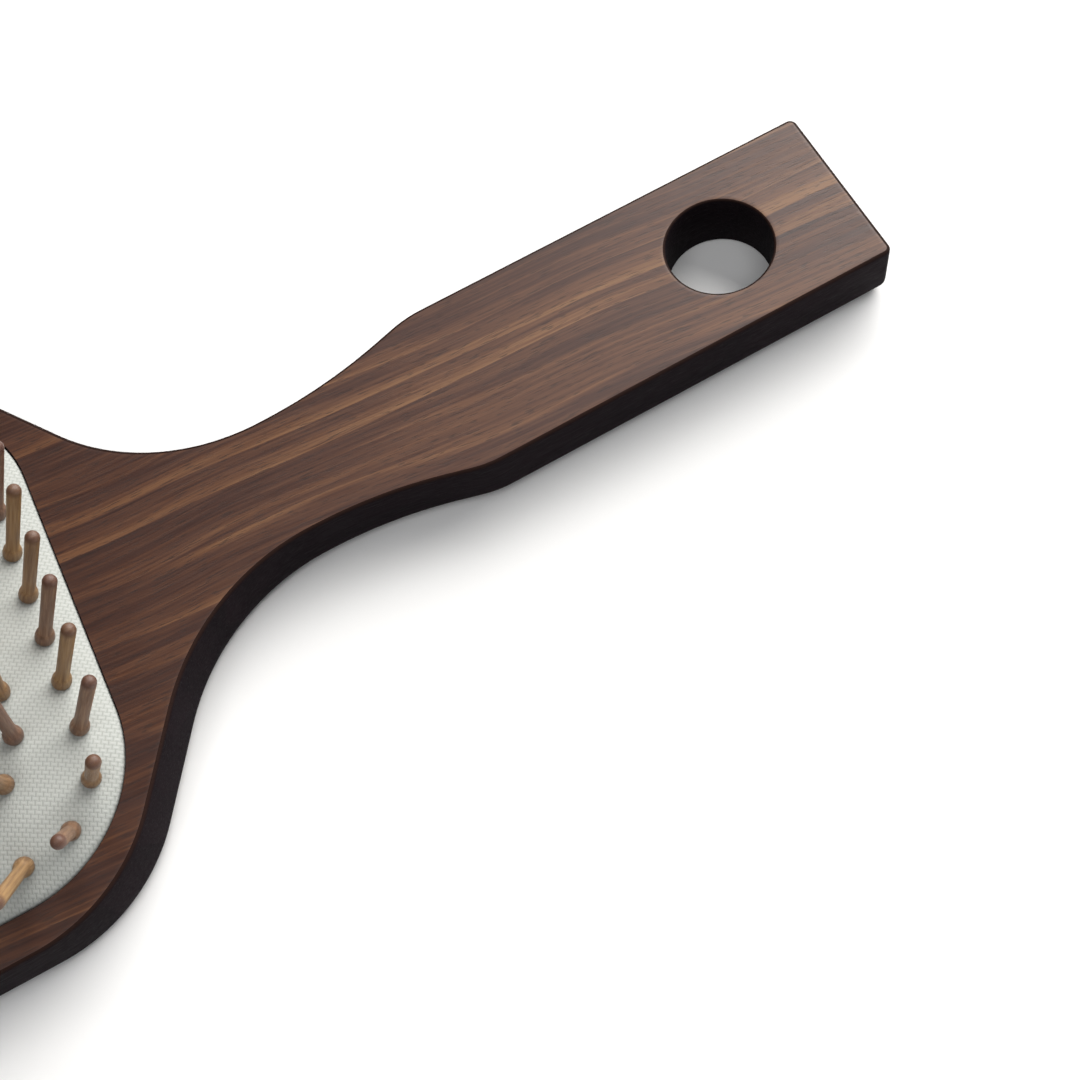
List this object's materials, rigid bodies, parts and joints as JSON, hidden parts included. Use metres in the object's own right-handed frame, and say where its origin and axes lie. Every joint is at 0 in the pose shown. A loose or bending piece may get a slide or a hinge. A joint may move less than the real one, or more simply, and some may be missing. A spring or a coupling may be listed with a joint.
{
  "type": "paddle hairbrush",
  "caption": "Wooden paddle hairbrush with a square handle, a hanging hole and a domed air cushion that carries turned wooden pins.",
  "frame": {"origin": "on the flat back, under the middle of the bounding box of the wooden body", "axes": "+X along the brush towards the handle end, +Z out of the front, the way the pins point, +Y completes a right-handed set"},
  "size_m": [0.25, 0.0926, 0.0354],
  "materials": {
    "dark_wood": "oiled, fine open grain",
    "pin_wood": "turned and oiled",
    "rubber": "matte",
    "woven_facing": "fine plain weave"
  },
  "bodies": {
    "brush_body": {"wooden_body": "dark_wood", "rubber_membrane": "rubber", "woven_facing": "woven_facing"},
    "pins_ring_1": {"pin_ring1_01": "pin_wood", "pin_ring1_02": "pin_wood", "pin_ring1_03": "pin_wood", "pin_ring1_04": "pin_wood", "pin_ring1_05": "pin_wood", "pin_ring1_06": "pin_wood", "pin_ring1_07": "pin_wood", "pin_ring1_08": "pin_wood", "pin_ring1_09": "pin_wood", "pin_ring1_10": "pin_wood", "pin_ring1_11": "pin_wood", "pin_ring1_12": "pin_wood", "pin_ring1_13": "pin_wood", "pin_ring1_14": "pin_wood", "pin_ring1_15": "pin_wood", "pin_ring1_16": "pin_wood", "pin_ring1_17": "pin_wood", "pin_ring1_18": "pin_wood", "pin_ring1_19": "pin_wood", "pin_ring1_20": "pin_wood", "pin_ring1_21": "pin_wood", "pin_ring1_22": "pin_wood", "pin_ring1_23": "pin_wood"},
    "pins_ring_2": {"pin_ring2_01": "pin_wood", "pin_ring2_02": "pin_wood", "pin_ring2_03": "pin_wood", "pin_ring2_04": "pin_wood", "pin_ring2_05": "pin_wood", "pin_ring2_06": "pin_wood", "pin_ring2_07": "pin_wood", "pin_ring2_08": "pin_wood", "pin_ring2_09": "pin_wood", "pin_ring2_10": "pin_wood", "pin_ring2_11": "pin_wood", "pin_ring2_12": "pin_wood", "pin_ring2_13": "pin_wood", "pin_ring2_14": "pin_wood"},
    "pins_ring_3": {"pin_ring3_01": "pin_wood", "pin_ring3_02": "pin_wood", "pin_ring3_03": "pin_wood", "pin_ring3_04": "pin_wood", "pin_ring3_05": "pin_wood", "pin_ring3_06": "pin_wood", "pin_ring3_07": "pin_wood", "pin_ring3_08": "pin_wood"},
    "pins_ring_4": {"pin_ring4_01": "pin_wood", "pin_ring4_02": "pin_wood", "pin_ring4_03": "pin_wood", "pin_ring4_04": "pin_wood"},
    "pins_ring_5": {"pin_ring5_01": "pin_wood", "pin_ring5_02": "pin_wood", "pin_ring5_03": "pin_wood", "pin_ring5_04": "pin_wood"},
    "pins_middle_row": {"pin_row_01": "pin_wood", "pin_row_02": "pin_wood"}
  },
  "joints": [
    {"name": "cushion_press", "type": "slide", "parent": "brush_body", "child": "pins_middle_row", "axis": [0, 0, -1], "range_m": [0, 0.004], "stiffness_N_per_m": 900, "deforming": ["rubber_membrane", "woven_facing"]},
    {"name": "ring_5_sink", "type": "slide", "parent": "brush_body", "child": "pins_ring_5", "axis": [0, 0, -1], "range_m": [0, 0.004], "stiffness_N_per_m": 300},
    {"name": "ring_4_sink", "type": "slide", "parent": "brush_body", "child": "pins_ring_4", "axis": [0, 0, -1], "range_m": [0, 0.0039], "stiffness_N_per_m": 300},
    {"name": "ring_3_sink", "type": "slide", "parent": "brush_body", "child": "pins_ring_3", "axis": [0, 0, -1], "range_m": [0, 0.00356], "stiffness_N_per_m": 300},
    {"name": "ring_2_sink", "type": "slide", "parent": "brush_body", "child": "pins_ring_2", "axis": [0, 0, -1], "range_m": [0, 0.0028], "stiffness_N_per_m": 300},
    {"name": "ring_1_sink", "type": "slide", "parent": "brush_body", "child": "pins_ring_1", "axis": [0, 0, -1], "range_m": [0, 0.00141], "stiffness_N_per_m": 300}
  ],
  "couplings": [
    {"joint": "ring_5_sink", "follows": "cushion_press", "ratio": 0.9973},
    {"joint": "ring_4_sink", "follows": "cushion_press", "ratio": 0.9714},
    {"joint": "ring_3_sink", "follows": "cushion_press", "ratio": 0.8866},
    {"joint": "ring_2_sink", "follows": "cushion_press", "ratio": 0.6983},
    {"joint": "ring_1_sink", "follows": "cushion_press", "ratio": 0.3495}
  ]
}
